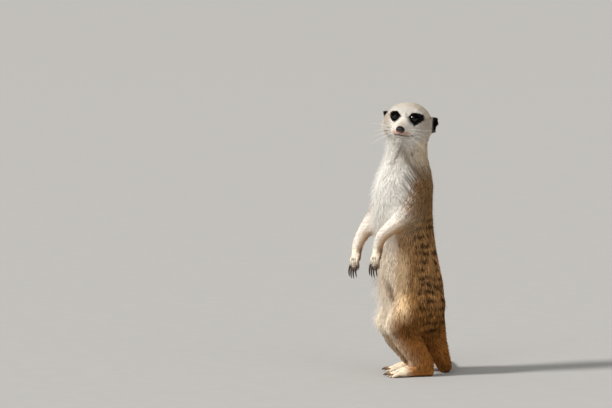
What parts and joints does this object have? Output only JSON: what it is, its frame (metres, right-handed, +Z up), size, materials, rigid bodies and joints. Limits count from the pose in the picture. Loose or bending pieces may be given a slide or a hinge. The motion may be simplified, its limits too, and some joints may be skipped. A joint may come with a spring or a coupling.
{
  "type": "life-size meerkat museum model",
  "caption": "Life-size still meerkat standing upright on guard, fore paws hanging, head turned to its left, tail laid on the floor behind as a prop",
  "frame": {"origin": "middle of the model's footprint, on the floor", "axes": "+Z up; the animal's toes point roughly along -Y, turned 14 degrees to its right; its left side is +X; the tail runs away to -X and +Y"},
  "size_m": [0.1532, 0.1558, 0.2867],
  "materials": {
    "coat_tan": "short fur, golden tan with dark ticking",
    "coat_pale": "short fur, cream to greyish white",
    "coat_dark": "short black fur",
    "nose_skin": "moist bare skin",
    "eye": "wet, glossy",
    "claw": "smooth dark horn"
  },
  "bodies": {
    "root": {"belly": "coat_tan", "chest": "coat_pale", "ear_left": "coat_dark", "ear_right": "coat_dark", "eye_left": "eye", "eye_right": "eye", "fore_claw_left_1": "claw", "fore_claw_left_2": "claw", "fore_claw_left_3": "claw", "fore_claw_left_4": "claw", "fore_claw_right_1": "claw", "fore_claw_right_2": "claw", "fore_claw_right_3": "claw", "fore_claw_right_4": "claw", "fore_paw_left": "coat_pale", "fore_paw_right": "coat_pale", "forearm_left": "coat_pale", "forearm_right": "coat_pale", "head": "coat_pale", "hind_claw_left_1": "claw", "hind_claw_left_2": "claw", "hind_claw_left_3": "claw", "hind_claw_left_4": "claw", "hind_claw_right_1": "claw", "hind_claw_right_2": "claw", "hind_claw_right_3": "claw", "hind_claw_right_4": "claw", "hind_paw_left": "coat_pale", "hind_paw_right": "coat_pale", "neck": "coat_pale", "nose": "nose_skin", "shin_left": "coat_tan", "shin_right": "coat_tan", "tail_middle": "coat_tan", "tail_root": "coat_tan", "tail_tip": "coat_tan", "thigh_left": "coat_tan", "thigh_right": "coat_tan", "upper_arm_left": "coat_tan", "upper_arm_right": "coat_tan"}
  },
  "joints": []
}
